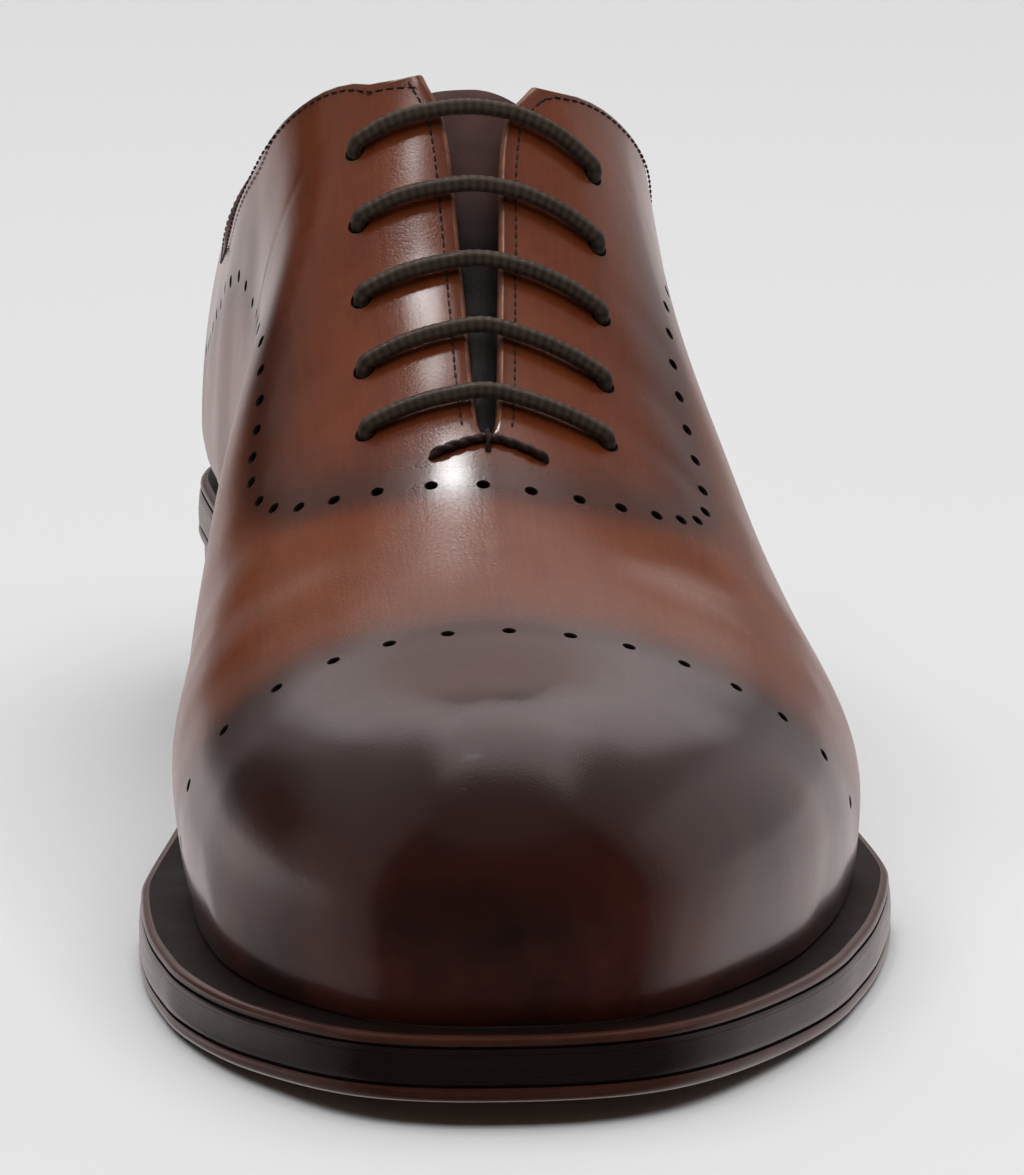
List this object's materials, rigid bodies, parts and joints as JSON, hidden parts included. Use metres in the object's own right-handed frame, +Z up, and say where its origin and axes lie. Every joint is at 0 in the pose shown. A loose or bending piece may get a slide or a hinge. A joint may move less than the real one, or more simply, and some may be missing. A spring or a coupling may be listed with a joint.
{
  "type": "oxford shoe",
  "caption": "Left oxford dress shoe of one piece of burnished brown leather, with a hollow upper on a round-toed last, tongue, lace bars, welt, leather sole and heel.",
  "frame": {"origin": "on the floor, below the middle of the sole's box", "axes": "+Z up, +Y towards the heel, +X towards the outer side of the foot"},
  "size_m": [0.109, 0.3, 0.1137],
  "materials": {
    "upper_leather": "burnished and glossy, dark at the toe and along the punched lines",
    "tongue_leather": "dark, half matt",
    "lace_cotton": "waxed round braid",
    "insole_leather": "smooth, matt",
    "welt_leather": "waxed edge",
    "sole_leather": "waxed edge",
    "heel_leather": "waxed stack",
    "heel_rubber": "matt"
  },
  "bodies": {
    "root": {"upper": "upper_leather", "tongue": "tongue_leather", "lace": "lace_cotton", "insole": "insole_leather", "welt": "welt_leather", "outsole": "sole_leather", "heel_stack": "heel_leather", "heel_top_piece": "heel_rubber"}
  },
  "joints": []
}
